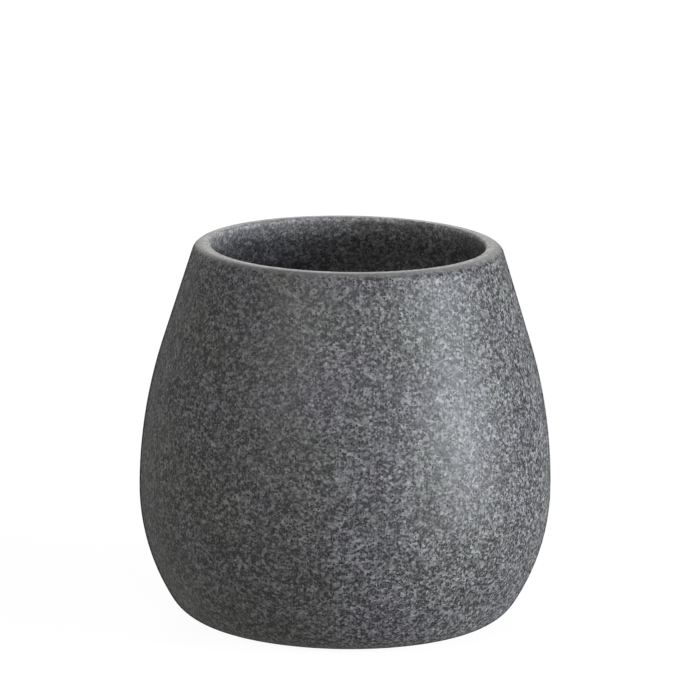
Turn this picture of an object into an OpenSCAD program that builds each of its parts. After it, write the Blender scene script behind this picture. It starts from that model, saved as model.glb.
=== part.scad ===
// Bathroom tumbler: a round-bellied cup cast in one piece, standing on a stuck-on base pad.
// The origin is on the tumbler's axis, at the underside of the pad, with +Z up.

/* [Body] */
// Widest outside diameter of the cast body
body_d = 100; // [84:1:130]
// Height of the cast body, from its foot to the top of its rim
body_h = 92; // [76:1:120]
// Height of the widest ring above the foot
belly_z = 32.5; // [22:0.5:46]
// Radius of the lower side, from the foot's corner up to the widest ring
lower_side_r = 51.5; // [40:0.5:70]
// Radius of the corner that turns the foot into the lower side
foot_corner_r = 11; // [4:0.5:16]
// Radius of the shoulder, from the widest ring up to the straight neck
shoulder_r = 119; // [60:1:170]
// Angle at which the straight neck leans in from upright, in degrees
neck_lean = 17.3; // [6:0.1:24]

/* [Wall and floor] */
// Thickness of the side wall
wall_t = 4; // [3.2:0.1:8]
// Thickness of the floor above the foot
floor_t = 7; // [4:0.5:12]
// Radius of the inside corner between the floor and the wall
floor_corner_r = 12; // [4:0.5:16]

/* [Rim] */
// Radius of the rim's soft outer edge
rim_outer_r = 2.6; // [0.6:0.1:3.4]
// Radius of the rim's crisp inner edge
rim_inner_r = 0.8; // [0.3:0.1:1.5]

/* [Foot] */
// Width of the foot's bare ring, from the recess out to the corner
foot_ring_w = 3.3; // [1.5:0.1:10]
// Radius of the recess's lower edge
recess_edge_r = 0.5; // [0.2:0.1:0.8]
// Clearance between the wall of the recess and the edge of the pad
recess_gap = 0.5; // [0.3:0.1:1.5]

/* [Base pad] */
// Thickness of the pad
pad_t = 1.8; // [1.4:0.1:4]
// How far the pad stands out below the foot
pad_stand = 0.6; // [0.3:0.1:1]
// Radius of the pad's lower edge
pad_edge_r = 0.4; // [0.2:0.1:0.8]

/* [Adhesive film] */
// Thickness of the double-sided film that holds the pad
film_t = 0.2; // [0.1:0.05:0.5]
// How far the film stops short of the pad's edge
film_inset = 0.5; // [0.2:0.1:3]

/* [Hidden] */

// Largest distance between a round stretch of an outline and its straight steps
curve_error = 0.01;
// Number of facets once round the axis
round_steps = 180;

// Levels above the surface that the tumbler stands on
foot_level = pad_stand;
film_level = pad_t;
recess_level = film_level + film_t;
floor_level = foot_level + floor_t;
belly_level = foot_level + belly_z;
rim_level = foot_level + body_h;

// Centres of the two arcs that make the side, both level with the widest ring
lower_side_c = [body_d / 2 - lower_side_r, belly_level];
shoulder_c = [body_d / 2 - shoulder_r, belly_level];

// Centre of the arc of radius r that stands on a level and touches the side arc of radius side_r
function corner_c(r, side_r, level) =
    let (rise = belly_level - level - r)
    [lower_side_c.x + sqrt(pow(side_r - r, 2) - pow(rise, 2)), level + r];

// Angle from straight down at which a corner arc with centre c meets the lower side
function meeting_angle(c) = atan2(c.x - lower_side_c.x, lower_side_c.y - c.y);

foot_c = corner_c(foot_corner_r, lower_side_r, foot_level);
floor_c = corner_c(floor_corner_r, lower_side_r - wall_t, floor_level);
foot_angle = meeting_angle(foot_c);
floor_angle = meeting_angle(floor_c);

// Radius at which the outer line of the neck meets the plane of the rim
neck_rise = rim_level - belly_level;
neck_r = shoulder_c.x + (shoulder_r - neck_rise * sin(neck_lean)) / cos(neck_lean);

// Centre of a rim edge of radius r that lies at a depth inside the outer line of the neck
function rim_c(r, depth) = [neck_r - (depth - r * sin(neck_lean)) / cos(neck_lean), rim_level - r];

rim_outer_c = rim_c(rim_outer_r, rim_outer_r);
rim_inner_c = rim_c(rim_inner_r, wall_t - rim_inner_r);

// Radii of what sits inside the foot, each worked out from the one around it
recess_r = foot_c.x - foot_ring_w;
pad_r = recess_r - recess_gap;
film_r = pad_r - film_inset;

// Points of an arc, with its angles counted from straight down towards the outside
function arc(c, r, from, to) =
    let (steps = ceil(abs(to - from) / (2 * acos(1 - curve_error / r))))
    [for (i = [0:steps]) let (a = from + (to - from) * i / steps) c + r * [sin(a), -cos(a)]];

// The outside of the body, from the recess out over the foot and up to the rim
body_outside = concat(
    [[0, recess_level], [recess_r, recess_level]],
    arc([recess_r + recess_edge_r, foot_level + recess_edge_r], recess_edge_r, 270, 360),
    arc(foot_c, foot_corner_r, 0, foot_angle),
    arc(lower_side_c, lower_side_r, foot_angle, 90),
    arc(shoulder_c, shoulder_r, 90, 90 + neck_lean),
    arc(rim_outer_c, rim_outer_r, 90 + neck_lean, 180)
);

// The inside of the body, from the rim down the wall and across the floor
body_inside = concat(
    arc(rim_inner_c, rim_inner_r, 180, 270 + neck_lean),
    arc(shoulder_c, shoulder_r - wall_t, 90 + neck_lean, 90),
    arc(lower_side_c, lower_side_r - wall_t, 90, floor_angle),
    arc(floor_c, floor_corner_r, floor_angle, 0),
    [[0, floor_level]]
);

// The outline of the pad, round at its lower edge
pad_outline = concat(
    [[0, 0]],
    arc([pad_r - pad_edge_r, pad_edge_r], pad_edge_r, 0, 90),
    [[pad_r, pad_t], [0, pad_t]]
);

// Turns an outline once round the axis
module turned(outline) {
    rotate_extrude($fn = round_steps) polygon(outline);
}

// The cup: wall, rim and floor in one casting, with a shallow recess under the foot
module tumbler_body() {
    color([0.31, 0.31, 0.32]) turned(concat(body_outside, body_inside));
}

// The thin film between the roof of the recess and the pad
module pad_adhesive() {
    color([0.88, 0.86, 0.80])
        translate([0, 0, film_level]) cylinder(r = film_r, h = film_t, $fn = round_steps);
}

// The soft round pad that the tumbler stands on
module base_pad() {
    color([0.10, 0.10, 0.11]) turned(pad_outline);
}

tumbler_body();
pad_adhesive();
base_pad();
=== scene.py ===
"""Looks of a cast stone-effect bathroom tumbler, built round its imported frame.

Everything is in metres, with the origin on the tumbler's axis at the underside of its pad.
Sizes are written in millimetres, as a maker writes them, and turned into metres where
they are used.
"""

import math

import bpy
from mathutils import Matrix, Vector


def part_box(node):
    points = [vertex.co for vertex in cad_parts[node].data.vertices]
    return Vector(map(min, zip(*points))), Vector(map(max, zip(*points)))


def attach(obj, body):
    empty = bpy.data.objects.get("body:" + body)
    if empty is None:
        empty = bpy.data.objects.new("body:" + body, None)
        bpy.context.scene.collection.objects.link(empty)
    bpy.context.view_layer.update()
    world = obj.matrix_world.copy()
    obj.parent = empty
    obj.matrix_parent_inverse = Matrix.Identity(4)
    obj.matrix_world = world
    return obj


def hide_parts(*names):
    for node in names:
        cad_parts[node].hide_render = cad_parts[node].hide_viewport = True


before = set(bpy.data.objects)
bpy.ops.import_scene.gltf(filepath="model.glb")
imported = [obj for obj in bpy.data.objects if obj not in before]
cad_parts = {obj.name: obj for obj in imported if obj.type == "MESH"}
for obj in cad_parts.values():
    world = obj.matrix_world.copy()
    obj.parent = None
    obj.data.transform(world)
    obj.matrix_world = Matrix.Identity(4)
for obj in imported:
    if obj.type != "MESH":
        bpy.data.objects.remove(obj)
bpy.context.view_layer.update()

MM = 0.001

# Sizes of the casting, in millimetres and degrees, as in the part's source
CASTING = {
    "Widest diameter": 100.0,
    "Body height": 92.0,
    "Belly height": 32.5,
    "Lower side radius": 51.5,
    "Foot corner radius": 11.0,
    "Shoulder radius": 119.0,
    "Neck lean": 17.3,
    "Wall": 4.0,
    "Floor": 7.0,
    "Floor corner radius": 12.0,
    "Rim outer radius": 2.6,
    "Rim inner radius": 0.8,
    "Foot level": 0.6,
    "Recess level": 2.0,
    "Foot ring width": 3.3,
    "Recess edge radius": 0.5,
}

# Sizes of the pad, in millimetres: those of its CAD node, and its edge as in the part's source
_, pad_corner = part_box("base_pad")
PAD = {
    "Pad radius": pad_corner.x / MM,
    "Pad thickness": pad_corner.z / MM,
    "Pad edge radius": 0.4,
}

# Sizes that are angles; all the others are lengths
ANGLES = ("Neck lean",)

# How finely a piece is turned: how far facets may stray from their arc and the steps of a
# straight line, in millimetres, and the facets in a full turn
CURVE_ERROR = 0.002
LINE_STEP = 3.0
FACETS_ROUND = 256

# The circle that carries an outline round the axis, and the gap below which points are welded,
# in millimetres
RAIL_RADIUS = 5.0
WELD = 0.001

# Bend between two facets, in degrees, past which the edge between them is sharp
SHARP_ANGLE = 40.0

# Attribute of a turned piece: one on the wall of its hollow, and nought on the rest
HOLLOW = "hollow"


# Working with objects and node trees


def add_object(name, data):
    """Makes an object of its data and puts it in the scene."""
    made = bpy.data.objects.new(name, data)
    bpy.context.scene.collection.objects.link(made)
    return made


def bare_tree(owner):
    """The emptied node tree of a material or a world."""
    owner.use_nodes = True
    tree = owner.node_tree
    tree.nodes.clear()
    return tree


def feed(tree, value, socket):
    """Feeds a socket with a figure, another socket or a plain value."""
    if isinstance(value, Figure):
        value = value.socket
    if isinstance(value, bpy.types.NodeSocket):
        tree.links.new(value, socket)
    else:
        socket.default_value = value


def put(tree, kind, feeds=None, **settings):
    """Adds a node, makes its settings, and feeds its inputs by name or number."""
    made = tree.nodes.new(kind)
    for name, value in settings.items():
        setattr(made, name, value)
    for key, value in (feeds or {}).items():
        feed(tree, value, made.inputs[key])
    return made


class Figure:
    """A number inside a node tree, so that a tree's rules read as ordinary sums."""

    def __init__(self, tree, socket):
        self.tree = tree
        self.socket = socket

    def math(self, operation, *values, clamp=False):
        """What a sum gives for some values, kept between nought and one if it is clamped."""
        made = put(self.tree, "ShaderNodeMath", dict(enumerate(values)), operation=operation)
        made.use_clamp = clamp
        return Figure(self.tree, made.outputs[0])

    def __add__(self, other):
        return self.math("ADD", self, other)

    def __radd__(self, other):
        return self.math("ADD", other, self)

    def __sub__(self, other):
        return self.math("SUBTRACT", self, other)

    def __rsub__(self, other):
        return self.math("SUBTRACT", other, self)

    def __mul__(self, other):
        return self.math("MULTIPLY", self, other)

    def __truediv__(self, other):
        return self.math("DIVIDE", self, other)

    def __rtruediv__(self, other):
        return self.math("DIVIDE", other, self)

    def sin(self):
        return self.math("SINE", self)

    def cos(self):
        return self.math("COSINE", self)

    def root(self):
        return self.math("SQRT", self)

    def size(self):
        return self.math("ABSOLUTE", self)

    def round_up(self):
        return self.math("CEIL", self)

    def angle_to(self, other):
        """The angle whose tangent is this figure over the other one."""
        return self.math("ARCTAN2", self, other)

    def arc_cosine(self):
        return self.math("ARCCOSINE", self)

    def plus(self, other):
        """The sum of both, kept between nought and one."""
        return self.math("ADD", self, other, clamp=True)

    def times(self, other):
        """The product of both, kept between nought and one."""
        return self.math("MULTIPLY", self, other, clamp=True)

    def below(self, limit, softness):
        """Nought from the limit up, and one where it is further below it than the softness."""
        return self.math("DIVIDE", limit - self, softness, clamp=True)


# Turned pieces: an outline turned round the axis by a node tree


class Outline:
    """Half the outline of a turned piece: arcs, and the straight lines between them."""

    def __init__(self, tree, error, step):
        self.tree = tree
        self.error = error
        self.step = step
        self.pen = None
        self.hollow = 0.0
        self.stretches = []

    def at(self, x, z):
        """A point of the outline, measured from the rail that carries it."""
        made = put(self.tree, "ShaderNodeCombineXYZ", {"X": x - RAIL_RADIUS * MM, "Y": z})
        return made.outputs[0]

    def line_to(self, x, z):
        """Draws a line from where the pen stands, in short steps."""
        if self.pen is not None:
            line = put(
                self.tree,
                "GeometryNodeCurvePrimitiveLine",
                {"Start": self.at(*self.pen), "End": self.at(x, z)},
                mode="POINTS",
            )
            stepped = put(
                self.tree,
                "GeometryNodeResampleCurve",
                {"Curve": line.outputs[0], "Length": self.step},
                mode="LENGTH",
            )
            self.keep(stepped.outputs[0])
        self.pen = (x, z)

    def arc(self, centre, radius, start, end, touching=False):
        """Draws an arc, with its angles counted from straight down towards the outside."""
        x, z = centre
        if not touching:
            self.line_to(x + radius * start.sin(), z - radius * start.cos())
        widest_step = (1 - self.error / radius).arc_cosine() * 2
        steps = ((end - start).size() / widest_step).round_up()
        made = put(
            self.tree,
            "GeometryNodeCurveArc",
            {
                "Resolution": steps + 1,
                "Radius": radius,
                "Start Angle": start - math.pi / 2,
                "Sweep Angle": end - start,
            },
            mode="RADIUS",
        )
        placed = put(
            self.tree,
            "GeometryNodeTransform",
            {"Geometry": made.outputs["Curve"], "Translation": self.at(x, z)},
        )
        self.keep(placed.outputs[0])
        self.pen = (x + radius * end.sin(), z - radius * end.cos())

    def keep(self, curve):
        """Keeps a stretch, marked with the side of the wall that it lies on."""
        marked = put(
            self.tree,
            "GeometryNodeStoreNamedAttribute",
            {"Geometry": curve, "Name": HOLLOW, "Value": self.hollow},
            data_type="FLOAT",
            domain="POINT",
        )
        self.stretches.append(marked.outputs[0])


def turned_tree(name, sizes, draw):
    """A node tree with one named input for each size, which turns what draw() draws."""
    tree = bpy.data.node_groups.new(name, "GeometryNodeTree")
    sockets = tree.interface
    sockets.new_socket("Geometry", in_out="OUTPUT", socket_type="NodeSocketGeometry")
    for key in sizes:
        sockets.new_socket(key, in_out="INPUT", socket_type="NodeSocketFloat")
    sockets.new_socket("Facets round", in_out="INPUT", socket_type="NodeSocketInt")
    sockets.new_socket("Material", in_out="INPUT", socket_type="NodeSocketMaterial")
    entry = put(tree, "NodeGroupInput")
    size = {key: Figure(tree, entry.outputs[key]) for key in sizes}

    outline = Outline(tree, CURVE_ERROR * MM, LINE_STEP * MM)
    draw(outline, size)
    joined = put(tree, "GeometryNodeJoinGeometry")
    for stretch in outline.stretches:
        tree.links.new(stretch, joined.inputs[0])

    rail = put(
        tree,
        "GeometryNodeCurvePrimitiveCircle",
        {"Resolution": entry.outputs["Facets round"], "Radius": RAIL_RADIUS * MM},
        mode="RADIUS",
    )
    upright = put(tree, "GeometryNodeSetCurveNormal", {"Curve": rail.outputs[0]}, mode="Z_UP")
    skin = put(
        tree,
        "GeometryNodeCurveToMesh",
        {"Curve": upright.outputs[0], "Profile Curve": joined.outputs[0]},
    )
    # The rail leaves the outline upside down, so the skin is turned over
    standing = put(
        tree,
        "GeometryNodeTransform",
        {"Geometry": skin.outputs[0], "Rotation": (math.pi, 0, 0)},
    )
    welded = put(
        tree,
        "GeometryNodeMergeByDistance",
        {"Geometry": standing.outputs[0], "Distance": WELD * MM},
    )
    soft = put(tree, "GeometryNodeSetShadeSmooth", {"Geometry": welded.outputs[0]})
    bend = put(tree, "GeometryNodeInputMeshEdgeAngle")
    corner = put(
        tree,
        "FunctionNodeCompare",
        {"A": bend.outputs["Unsigned Angle"], "B": math.radians(SHARP_ANGLE)},
        operation="GREATER_THAN",
    )
    crisp = put(
        tree,
        "GeometryNodeSetShadeSmooth",
        {"Geometry": soft.outputs[0], "Selection": corner.outputs[0], "Shade Smooth": False},
        domain="EDGE",
    )
    solid = put(tree, "GeometryNodeRealizeInstances", {"Geometry": crisp.outputs[0]})
    dressed = put(
        tree,
        "GeometryNodeSetMaterial",
        {"Geometry": solid.outputs[0], "Material": entry.outputs["Material"]},
    )
    put(tree, "NodeGroupOutput", {"Geometry": dressed.outputs[0]})
    return tree


def turned_piece(name, sizes, draw, material):
    """Turns a piece from its sizes and leaves it as a plain mesh at the origin."""
    tree = turned_tree(name + "_turning", sizes, draw)
    values = {
        key: math.radians(value) if key in ANGLES else value * MM for key, value in sizes.items()
    }
    values["Facets round"] = FACETS_ROUND
    values["Material"] = material
    carrier = add_object(name + "_carrier", bpy.data.meshes.new(name + "_blank"))
    turning = carrier.modifiers.new("Turning", "NODES")
    turning.node_group = tree
    for item in tree.interface.items_tree:
        if item.in_out == "INPUT":
            turning[item.identifier] = values[item.name]
    bpy.context.view_layer.update()
    graph = bpy.context.evaluated_depsgraph_get()
    mesh = bpy.data.meshes.new_from_object(carrier.evaluated_get(graph), depsgraph=graph)
    carrier.modifiers.clear()
    bpy.data.objects.remove(carrier)
    mesh.name = name
    return add_object(name, mesh)


def draw_casting(outline, size):
    """The casting: recess, foot, lower side, shoulder, neck and rim, then the inside."""
    level = size["Foot level"]
    belly = level + size["Belly height"]
    rim = level + size["Body height"]
    wall = size["Wall"]
    lean = size["Neck lean"]
    axis = wall * 0

    # Directions, as angles from straight down towards the outside
    down = lean * 0
    out = down + math.pi / 2
    up = down + math.pi
    inward = down + math.pi * 3 / 2
    down_again = down + 2 * math.pi

    half = size["Widest diameter"] / 2
    side_x = half - size["Lower side radius"]
    shoulder_x = half - size["Shoulder radius"]

    def corner(radius, side_radius, floor):
        """Centre of the arc that stands on a level and touches the lower side.

        Gives the angle at which they touch, too.
        """
        rise = belly - floor - radius
        reach = side_radius - radius
        over = (reach * reach - rise * rise).root()
        return (side_x + over, floor + radius), over.angle_to(rise)

    def rim_edge(radius, depth):
        """Centre of a rim edge that lies at a depth inside the outer line of the neck."""
        mouth = shoulder_x + (size["Shoulder radius"] - (rim - belly) * lean.sin()) / lean.cos()
        return mouth - (depth - radius * lean.sin()) / lean.cos(), rim - radius

    lower, shoulder = size["Lower side radius"], size["Shoulder radius"]
    foot_round, edge_round = size["Foot corner radius"], size["Recess edge radius"]
    rim_out, rim_in = size["Rim outer radius"], size["Rim inner radius"]
    foot, foot_angle = corner(foot_round, lower, level)
    bed, bed_angle = corner(size["Floor corner radius"], lower - wall, level + size["Floor"])
    recess = foot[0] - size["Foot ring width"]

    outline.line_to(axis, size["Recess level"])
    outline.line_to(recess, size["Recess level"])
    outline.arc((recess + edge_round, level + edge_round), edge_round, inward, down_again)
    outline.arc(foot, foot_round, down, foot_angle)
    outline.arc((side_x, belly), lower, foot_angle, out, touching=True)
    outline.arc((shoulder_x, belly), shoulder, out, out + lean, touching=True)
    outline.arc(rim_edge(rim_out, rim_out), rim_out, out + lean, up)
    outline.hollow = 1.0
    outline.arc(rim_edge(rim_in, wall - rim_in), rim_in, up, inward + lean)
    outline.arc((shoulder_x, belly), shoulder - wall, out + lean, out)
    outline.arc((side_x, belly), lower - wall, out, bed_angle, touching=True)
    outline.arc(bed, size["Floor corner radius"], bed_angle, down, touching=True)
    outline.line_to(axis, level + size["Floor"])


def draw_pad(outline, size):
    """The pad: a flat underside, a soft lower edge, and a square upper one."""
    edge, radius, top = size["Pad edge radius"], size["Pad radius"], size["Pad thickness"]
    # Nought is the axis, the level of the underside and, as an angle, straight down
    nought = radius * 0
    outline.line_to(nought, nought)
    outline.arc((radius - edge, edge), edge, nought, nought + math.pi / 2)
    outline.line_to(radius, top)
    outline.line_to(nought, top)


# Materials


def new_material(name):
    """A material that holds only its surface shader, with its tree and that shader."""
    material = bpy.data.materials.new(name)
    tree = bare_tree(material)
    shader = put(tree, "ShaderNodeBsdfPrincipled")
    put(tree, "ShaderNodeOutputMaterial", {"Surface": shader.outputs[0]})
    return material, tree, shader


def cells(tree, where, size, melt=0.0):
    """Irregular cells about one size across, which can melt into one another.

    Gives three random numbers for each cell, and how far its middle is, in cell sizes.
    """
    made = put(
        tree,
        "ShaderNodeTexVoronoi",
        {"Vector": where, "Scale": 1 / (size * MM)},
        voronoi_dimensions="3D",
        feature="SMOOTH_F1" if melt else "F1",
    )
    if melt:
        made.inputs["Smoothness"].default_value = melt
    split = put(tree, "ShaderNodeSeparateColor", {"Color": made.outputs["Color"]})
    return [Figure(tree, socket) for socket in (*split.outputs, made.outputs["Distance"])]


def spots(tree, where, size, share, share_blur, radius, radius_blur):
    """One inside a spot and nought beside it: a share of the cells hold one at their middle."""
    chance, _, _, away = cells(tree, where, size)
    return chance.below(share, share_blur) * away.below(radius, radius_blur)


def cloud(tree, where, size, detail=2.0, roughness=0.5):
    """Soft random variation about one size across."""
    made = put(
        tree,
        "ShaderNodeTexNoise",
        {"Vector": where, "Scale": 1 / (size * MM), "Detail": detail, "Roughness": roughness},
        noise_dimensions="3D",
    )
    return Figure(tree, made.outputs[0])


def shaken(tree, where, size, reach):
    """Coordinates that wander by up to a reach, so that grains lose their straight sides."""

    def vector(operation, feeds):
        return put(tree, "ShaderNodeVectorMath", feeds, operation=operation).outputs[0]

    noise = put(
        tree,
        "ShaderNodeTexNoise",
        {"Vector": where, "Scale": 1 / (size * MM), "Detail": 1.0},
        noise_dimensions="3D",
    )
    centred = vector("SUBTRACT", {0: noise.outputs["Color"], 1: (0.5, 0.5, 0.5)})
    scaled = vector("SCALE", {0: centred, "Scale": 2 * reach * MM})
    return vector("ADD", {0: where, 1: scaled})


def ramp(tree, value, stops):
    """Turns a value from 0 to 1 into a colour, by stops of (place, shade or colour)."""
    made = put(tree, "ShaderNodeValToRGB", {0: value})
    strip = made.color_ramp
    while len(strip.elements) < len(stops):
        strip.elements.new(0.5)
    for stop, (place, colour) in zip(strip.elements, stops):
        stop.position = place
        stop.color = (*colour, 1) if isinstance(colour, tuple) else (colour, colour, colour, 1)
    return made.outputs[0]


def blend(tree, share, under, over, kind="MIX"):
    """Lays one colour over another by a share."""
    made = put(tree, "ShaderNodeMix", data_type="RGBA", blend_type=kind, clamp_factor=True)
    feed(tree, share, made.inputs["Factor"])
    # Inputs 6 and 7 and output 2 are the node's colours
    for value, socket in ((under, made.inputs[6]), (over, made.inputs[7])):
        feed(tree, (*value, 1) if isinstance(value, tuple) else value, socket)
    return made.outputs[2]


def multiplied(tree, shade, value, gains):
    """A colour times what stops of (place, gain) give for a value."""
    return blend(tree, 1.0, shade, ramp(tree, value, gains), "MULTIPLY")


def roughened(tree, shader, relief, depth, strength=1.0, sunk=False):
    """Gives a surface a fine relief of a depth in millimetres, raised or sunk."""
    bump = put(
        tree,
        "ShaderNodeBump",
        {"Strength": strength, "Distance": depth * MM, "Height": relief},
        invert=sunk,
    )
    feed(tree, bump.outputs[0], shader.inputs["Normal"])


# Grains of the resin: their three sizes, in millimetres, and how much each counts in the mix
COARSE_GRAIN = 0.66
COARSE_SHARE = 0.46
MIDDLE_GRAIN = 0.46
MIDDLE_SHARE = 0.32
FINE_GRAIN = 0.29
FINE_SHARE = 0.22

# How far coarse and middle grains melt into one another, where 1 is fully
GRAIN_MELT = 0.30

# How the grains' sides wander: over what size and by how much, in millimetres
WANDER_SIZE = 0.45
WANDER_REACH = 0.06

# Shade of the grains for their place in the mix, from the darkest to the palest
GRAIN_SHADES = (
    (0.14, 0.000),
    (0.32, 0.010),
    (0.43, 0.041),
    (0.57, 0.086),
    (0.69, 0.129),
    (0.89, 0.211),
)

# Flecks: the size of their cells in millimetres, the share of cells that hold one and its
# radius in cell sizes, each with its blur; then how much a fleck covers, and its colour
DARK_FLECK = {
    "size": 0.62,
    "share": 0.28,
    "share_blur": 0.02,
    "radius": 0.43,
    "radius_blur": 0.08,
}
DARK_COVER = 0.96
DARK_COLOUR = (0.004, 0.004, 0.005)
PALE_FLECK = {
    "size": 0.60,
    "share": 0.08,
    "share_blur": 0.02,
    "radius": 0.36,
    "radius_blur": 0.12,
}
PALE_COVER = 0.85
PALE_COLOUR = (0.230, 0.230, 0.232)

# Variation over the grains: its size in millimetres and its gains, for clumps of them, for
# wide patches and for the tint, a part of which follows the coarse grains
CLUMP_SIZE = 2.2
CLUMP_GAINS = ((0.30, 0.78), (0.70, 1.21))
PATCH_SIZE = 9.0
PATCH_GAINS = ((0.30, 0.88), (0.70, 1.12))
TINT_SIZE = 16.0
TINT_BY_GRAIN = 0.15
TINT_GAINS = (
    (0.36, (0.985, 0.995, 0.990)),
    (0.50, (0.995, 0.985, 1.040)),
    (0.62, (0.990, 0.965, 1.090)),
)

# The inside, dulled by water: how much at the rim, and how much more from a depth below it
# on, in millimetres, and the grey that dulls it
RIM_LEVEL = CASTING["Foot level"] + CASTING["Body height"]
DULL_AT_RIM = 0.15
DULL_MORE_BELOW = 0.40
DULL_DEPTH = 22.0
DULL_GREY = (0.064, 0.064, 0.064)

# The lip's pale band: how far it reaches below the rim, outside and inside, and the size of
# the waves in its edge, in millimetres; how deep they cut, as a share of the band. Outside
# it is partly wear and partly a painted highlight on the rim; inside it is painted light,
# where light falls over the rim onto the inside wall
RIM_BAND_OUTSIDE = 1.0
RIM_BAND_INSIDE = 6.2
WAVE_SIZE = 2.5
WAVE_DEPTH = 0.5

# The lip band's colour, partly wear and partly painted highlight, how much it covers outside
# and inside, and the painted light inside: how much brighter the inside wall is painted
# towards the rim
LIP_WEAR_AND_LIGHT_COLOUR = (0.216, 0.209, 0.202)
LIP_COVER_OUTSIDE = 0.70
LIP_COVER_INSIDE = 0.22
INSIDE_PAINTED_LIGHT_GAINS = ((0.0, 1.0), (1.0, 2.0))

# Roughness of the outside where it is smoothest, and what grains, patches and wear add to it
SATIN_ROUGHNESS = 0.44
GRAIN_ROUGHNESS = 0.10
PATCH_ROUGHNESS = 0.06
LIP_ROUGHNESS = 0.10

# How strongly the outside shines, and what the lip band takes from it
SATIN_GLOSS = 0.365
LIP_DULLING = 0.10

# Dark grains shine more than pale ones: the gain for the darkest, and what the palest lose
DARK_GRAIN_GAIN = 1.45
PALE_GRAIN_LOSS = 0.9

# Share of the shine that is lost in dark flecks, and on the foot up to a height in
# millimetres; the lost shine on the foot is painted shade, which darkens it as if it
# reflected the shadowed floor under it
FLECK_LOSS = 0.5
FOOT_PAINTED_SHADE_LOSS = 0.34
PAINTED_SHADE_FOOT_HEIGHT = 9.0

# The shine fades towards the sides, where the surface turns from the view, and is gone at
# this weight; the lip keeps a sheen there
SHINE_END = 0.90
LIP_SHEEN = 0.55

# The skin's fine unevenness: its size and depth, in millimetres, and the share of it that
# the lip has lost
SKIN_SIZE = 0.60
SKIN_DEPTH = 0.0033
LIP_SMOOTHING = 0.6


def stone_resin():
    """Cast resin with mineral grains, satin outside; its lip partly worn, partly painted light."""
    material, tree, shader = new_material("stone_resin_satin")
    where = put(tree, "ShaderNodeTexCoord").outputs["Object"]
    height = Figure(tree, put(tree, "ShaderNodeSeparateXYZ", {0: where}).outputs["Z"])
    inside = Figure(tree, put(tree, "ShaderNodeAttribute", attribute_name=HOLLOW).outputs["Fac"])
    depth = RIM_LEVEL * MM - height

    # Grains and flecks
    loose = shaken(tree, where, WANDER_SIZE, WANDER_REACH)
    coarse, coarse_two, _, _ = cells(tree, loose, COARSE_GRAIN, GRAIN_MELT)
    middle, _, _, _ = cells(tree, loose, MIDDLE_GRAIN, GRAIN_MELT)
    fine, fine_two, _, _ = cells(tree, loose, FINE_GRAIN)
    grain = coarse * COARSE_SHARE + middle * MIDDLE_SHARE + fine * FINE_SHARE
    shade = ramp(tree, grain, GRAIN_SHADES)
    dark_spot = spots(tree, loose, **DARK_FLECK)
    shade = blend(tree, dark_spot * DARK_COVER, shade, DARK_COLOUR)
    pale_spot = spots(tree, loose, **PALE_FLECK)
    shade = blend(tree, pale_spot * PALE_COVER, shade, PALE_COLOUR)

    # Clumps, patches and tint
    clump = cloud(tree, where, CLUMP_SIZE, detail=1.0)
    shade = multiplied(tree, shade, clump, CLUMP_GAINS)
    patch = cloud(tree, where, PATCH_SIZE, detail=3.0)
    shade = multiplied(tree, shade, patch, PATCH_GAINS)
    drift = cloud(tree, where, TINT_SIZE) * (1 - TINT_BY_GRAIN)
    shade = multiplied(tree, shade, drift + coarse_two * TINT_BY_GRAIN, TINT_GAINS)

    # The dulled inside
    dull = 1 - depth.below(DULL_DEPTH * MM, DULL_DEPTH * MM)
    shade = blend(tree, inside * (DULL_AT_RIM + dull * DULL_MORE_BELOW), shade, DULL_GREY)

    # The lip band: paler, partly from wear and partly a painted highlight, with painted light on
    # the inside wall below the rim
    reach = (RIM_BAND_OUTSIDE + inside * (RIM_BAND_INSIDE - RIM_BAND_OUTSIDE)) * MM
    waves = cloud(tree, where, WAVE_SIZE) * WAVE_DEPTH - WAVE_DEPTH / 2
    lip = (1 - depth / reach).plus(waves)
    cover = LIP_COVER_OUTSIDE - inside * (LIP_COVER_OUTSIDE - LIP_COVER_INSIDE)
    shade = blend(tree, lip * cover, shade, LIP_WEAR_AND_LIGHT_COLOUR)
    # Painted light: the inside wall is brightened, up to twice, towards the rim where light falls
    # in
    shade = multiplied(tree, shade, lip * inside, INSIDE_PAINTED_LIGHT_GAINS)
    feed(tree, shade, shader.inputs["Base Color"])

    # Roughness, shine and skin
    soft_patch = cloud(tree, where, PATCH_SIZE)
    rough = SATIN_ROUGHNESS + fine_two * GRAIN_ROUGHNESS + soft_patch * PATCH_ROUGHNESS
    feed(tree, rough + lip * LIP_ROUGHNESS, shader.inputs["Roughness"])
    aside = Figure(tree, put(tree, "ShaderNodeLayerWeight").outputs["Facing"])
    fade = aside.below(SHINE_END, SHINE_END) + aside * lip * LIP_SHEEN
    # Painted shade: the foot's shine is cut so that it reads darker towards the floor
    foot = height.below(PAINTED_SHADE_FOOT_HEIGHT * MM, PAINTED_SHADE_FOOT_HEIGHT * MM)
    shine = SATIN_GLOSS - lip * LIP_DULLING
    shine = shine * (DARK_GRAIN_GAIN - grain * PALE_GRAIN_LOSS)
    shine = shine * (1 - dark_spot * FLECK_LOSS) * (1 - foot * FOOT_PAINTED_SHADE_LOSS)
    feed(tree, shine * fade, shader.inputs["Specular IOR Level"])
    skin = cloud(tree, where, SKIN_SIZE, detail=0.5) * (1 - lip * LIP_SMOOTHING)
    roughened(tree, shader, skin, SKIN_DEPTH)
    return material


# The pad's skin: the size and depth of its pebbles, in millimetres, their shades, and how
# strongly their relief shows
PEBBLE_SIZE = 0.45
PEBBLE_DEPTH = 0.05
PEBBLE_SHADES = ((0.0, 0.008), (0.7, 0.014), (1.0, 0.026))
PEBBLE_RELIEF = 0.8

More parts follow.
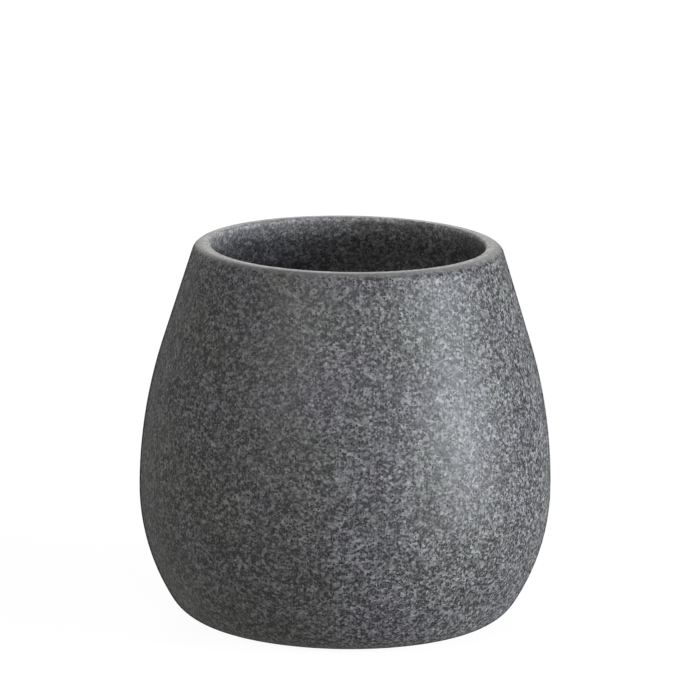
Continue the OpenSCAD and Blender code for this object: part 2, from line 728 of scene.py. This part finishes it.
# Dust on the pad: the size of its patches, in millimetres, and its gains
DUST_SIZE = 6.0
DUST_GAINS = ((0.44, 1.0), (0.66, 2.2))

# The scuffed band at the pad's edge: its width and the size of its marks, in millimetres, how
# much they cover, and their colour
SCUFF_WIDTH = 2.0
SCUFF_SIZE = 1.2
SCUFF_COVER = 0.7
SCUFF_COLOUR = (0.045, 0.044, 0.043)

# Roughness of the pad where it is smoothest, what its pebbles add to it, and its shine
PAD_ROUGHNESS = 0.78
PEBBLE_ROUGHNESS = 0.14
PAD_GLOSS = 0.3


def soft_pad():
    """Closed-cell soft rubber with a fine pebbled skin."""
    material, tree, shader = new_material("soft_pad_pebbled")
    where = put(tree, "ShaderNodeTexCoord").outputs["Object"]
    pebble, pebble_two, _, away = cells(tree, where, PEBBLE_SIZE, melt=1.0)
    shade = ramp(tree, pebble, PEBBLE_SHADES)
    dust = cloud(tree, where, DUST_SIZE, detail=4.0, roughness=0.6)
    shade = multiplied(tree, shade, dust, DUST_GAINS)

    split = put(tree, "ShaderNodeSeparateXYZ", {0: where})
    x, y = Figure(tree, split.outputs["X"]), Figure(tree, split.outputs["Y"])
    unscuffed = (PAD["Pad radius"] - SCUFF_WIDTH) * MM
    band = ((x * x + y * y).root() - unscuffed) / (SCUFF_WIDTH * MM)
    scuff = band.times(cloud(tree, where, SCUFF_SIZE, detail=3.0, roughness=0.6))
    shade = blend(tree, scuff * SCUFF_COVER, shade, SCUFF_COLOUR)
    feed(tree, shade, shader.inputs["Base Color"])

    feed(tree, PAD_ROUGHNESS + pebble_two * PEBBLE_ROUGHNESS, shader.inputs["Roughness"])
    feed(tree, PAD_GLOSS, shader.inputs["Specular IOR Level"])
    roughened(tree, shader, away, PEBBLE_DEPTH, PEBBLE_RELIEF, sunk=True)
    return material


# The film's carrier: the size of its cloudy patches, in millimetres, and their colours
MILK_SIZE = 3.0
MILK_COLOURS = ((0.3, (0.66, 0.63, 0.54)), (0.7, (0.77, 0.74, 0.66)))

# Bubbles in the film, described as the flecks are; their colour, their depth in millimetres,
# how strongly their relief shows, and the film's roughness with what they add to it
BUBBLE = {
    "size": 1.6,
    "share": 0.35,
    "share_blur": 0.05,
    "radius": 0.28,
    "radius_blur": 0.06,
}
BUBBLE_COLOUR = (0.52, 0.49, 0.41)
BUBBLE_DEPTH = 0.02
BUBBLE_RELIEF = 0.6
FILM_ROUGHNESS = 0.42
BUBBLE_ROUGHNESS = 0.2


def adhesive_film():
    """Thin double-sided film: a milky carrier with small trapped bubbles."""
    material, tree, shader = new_material("adhesive_film_milky")
    where = put(tree, "ShaderNodeTexCoord").outputs["Object"]
    bubble = spots(tree, where, **BUBBLE)
    milk = ramp(tree, cloud(tree, where, MILK_SIZE, detail=3.0), MILK_COLOURS)
    feed(tree, blend(tree, bubble, milk, BUBBLE_COLOUR), shader.inputs["Base Color"])
    feed(tree, FILM_ROUGHNESS + bubble * BUBBLE_ROUGHNESS, shader.inputs["Roughness"])
    roughened(tree, shader, bubble, BUBBLE_DEPTH, BUBBLE_RELIEF)
    return material


# The pieces


def make_cup():
    """The cup, turned from the sizes of its casting, in place of its CAD node."""
    cup = turned_piece("cup_casting", CASTING, draw_casting, stone_resin())
    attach(cup, "root")
    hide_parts("tumbler_body")


def make_pad():
    """The pad under the foot, turned from its own sizes, in place of its CAD node."""
    pad = turned_piece("foot_pad", PAD, draw_pad, soft_pad())
    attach(pad, "root")
    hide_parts("base_pad")


def dress_film():
    """The film keeps its CAD node and gets its own finish."""
    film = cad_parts["pad_adhesive"]
    film.data.materials.clear()
    film.data.materials.append(adhesive_film())


# The stage: floor, background, lamps and camera

WHITE = (1, 1, 1, 1)


def seen_directly(tree):
    """One for what the camera sees, also in gloss or through glass, and nought for other light."""
    path = put(tree, "ShaderNodeLightPath")
    kinds = ("Is Camera Ray", "Is Glossy Ray", "Is Transmission Ray")
    seen, in_gloss, through_glass = [Figure(tree, path.outputs[kind]) for kind in kinds]
    return (seen + in_gloss).plus(through_glass)


# The floor: half its width in metres, how brightly it glows and how much lamplight it gives
# back where it is seen, and the colour that it throws up at the tumbler
FLOOR_HALF = 6.0
FLOOR_GLOW = 0.95
FLOOR_SHADE = 0.08
FLOOR_BOUNCE = (0.51, 0.495, 0.400)


def make_floor():
    """A plain pale floor that keeps the soft shadow, and lets a view from below through."""
    mesh = bpy.data.meshes.new("floor")
    corners = [(-1, -1), (1, -1), (1, 1), (-1, 1)]
    mesh.from_pydata([(x * FLOOR_HALF, y * FLOOR_HALF, 0) for x, y in corners], [], [(0, 1, 2, 3)])
    floor = add_object("floor", mesh)

    material = bpy.data.materials.new("pale_floor")
    tree = bare_tree(material)
    lit = put(tree, "ShaderNodeBsdfDiffuse", {"Color": (FLOOR_SHADE,) * 3 + (1,)})
    glow = put(tree, "ShaderNodeEmission", {"Color": WHITE, "Strength": FLOOR_GLOW})
    pale = put(tree, "ShaderNodeAddShader", {0: lit.outputs[0], 1: glow.outputs[0]})
    bounce = put(tree, "ShaderNodeBsdfDiffuse", {"Color": (*FLOOR_BOUNCE, 1)})
    above = put(
        tree,
        "ShaderNodeMixShader",
        {0: seen_directly(tree), 1: bounce.outputs[0], 2: pale.outputs[0]},
    )
    clear = put(tree, "ShaderNodeBsdfTransparent")
    under = put(tree, "ShaderNodeNewGeometry").outputs["Backfacing"]
    whole = put(
        tree, "ShaderNodeMixShader", {0: under, 1: above.outputs[0], 2: clear.outputs[0]}
    )
    put(tree, "ShaderNodeOutputMaterial", {"Surface": whole.outputs[0]})
    mesh.materials.append(material)


# Strength of the background where it is seen, and of the fill that it adds to other light
WORLD_SEEN = 1.0
WORLD_FILL = 0.065


def make_world():
    """White where it is seen, and a plain weak fill for the rest of the light."""
    world = bpy.data.worlds.new("studio")
    bpy.context.scene.world = world
    tree = bare_tree(world)
    fill = put(tree, "ShaderNodeBackground", {"Color": WHITE, "Strength": WORLD_FILL})
    seen = put(tree, "ShaderNodeBackground", {"Color": WHITE, "Strength": WORLD_SEEN})
    both = put(
        tree,
        "ShaderNodeMixShader",
        {0: seen_directly(tree), 1: fill.outputs[0], 2: seen.outputs[0]},
    )
    put(tree, "ShaderNodeOutputWorld", {"Surface": both.outputs[0]})


# Lamps: degrees to the right of the camera and up, distance and size in metres, watts, colour
LAMPS = {
    "window_right": (69, 8, 1.20, (0.30, 0.44), 22.3, (0.885, 0.948, 1.0)),
    "window_far": (86, 8, 1.20, (0.30, 0.44), 2.4, (0.96, 0.97, 0.96)),
    "window_low": (72, -1, 0.60, (0.20, 0.05), 1.20, (0.99, 1.0, 0.95)),
    "front_right": (38, 8, 1.20, (0.40, 0.30), 1.35, (0.98, 0.965, 1.0)),
    "front_top": (0, 38, 1.20, (0.40, 0.40), 2.5, (0.87, 0.80, 1.0)),
    "front_high": (0, 58, 1.20, (0.50, 0.50), 0.8, (1.0, 0.98, 1.0)),
    "left_fill": (-37, 29, 1.20, (0.40, 0.40), 5.1, (0.96, 1.0, 0.90)),
    "back_soft": (-176, 20, 1.20, (0.60, 0.30), 6.6, (1.0, 0.995, 0.965)),
}

# The point that all lamps face, in metres
LAMP_TARGET = Vector((0, 0, 0.046))


def aim(thing, place, target, roll=0.0):
    """Puts a lamp or a camera in its place, looking at a target."""
    turn = (target - place).to_track_quat("-Z", "Y").to_matrix().to_4x4()
    thing.matrix_world = Matrix.Translation(place) @ turn @ Matrix.Rotation(roll, 4, "Z")


def make_lamps():
    """Soft lamps round the tumbler, none of which the camera sees."""
    for name, (right, up, distance, size, watts, colour) in LAMPS.items():
        data = bpy.data.lights.new(name, "AREA")
        data.shape = "RECTANGLE"
        data.size, data.size_y = size
        data.energy = watts
        data.color = colour
        lamp = add_object(name, data)
        lamp.visible_camera = False
        turn, rise = math.radians(right), math.radians(up)
        level = math.cos(rise)
        away = Vector((math.sin(turn) * level, -math.cos(turn) * level, math.sin(rise)))
        aim(lamp, LAMP_TARGET + away * distance, LAMP_TARGET)


# The photograph's camera: degrees above the level and of roll, its distance to the body's
# middle and its nearest and farthest sight, in metres, and its focal length in millimetres
CAMERA_UP = 13.113
CAMERA_ROLL = 0.775
CAMERA_DISTANCE = 1.5
CAMERA_NEAR = 0.1
CAMERA_FAR = 50.0
CAMERA_LENS = 317.4

# The level of the body's middle, and how far right of it and above it the camera aims, in
# millimetres
BODY_MIDDLE = 45.6
AIM_RIGHT = 0.775
AIM_RISE = 20.76


def make_camera():
    """The photograph's camera, looking down a little on the tumbler."""
    data = bpy.data.cameras.new("camera")
    data.lens = CAMERA_LENS
    data.clip_start = CAMERA_NEAR
    data.clip_end = CAMERA_FAR
    camera = add_object("camera", data)
    up = math.radians(CAMERA_UP)
    middle = Vector((0, 0, BODY_MIDDLE * MM))
    place = middle + Vector((0, -math.cos(up), math.sin(up))) * CAMERA_DISTANCE
    aim(camera, place, middle + Vector((AIM_RIGHT, 0, AIM_RISE)) * MM, math.radians(CAMERA_ROLL))
    bpy.context.scene.camera = camera


make_cup()
make_pad()
dress_film()
make_floor()
make_world()
make_lamps()
make_camera()
bpy.context.scene.view_settings.view_transform = "Standard"

bpy.context.view_layer.update()
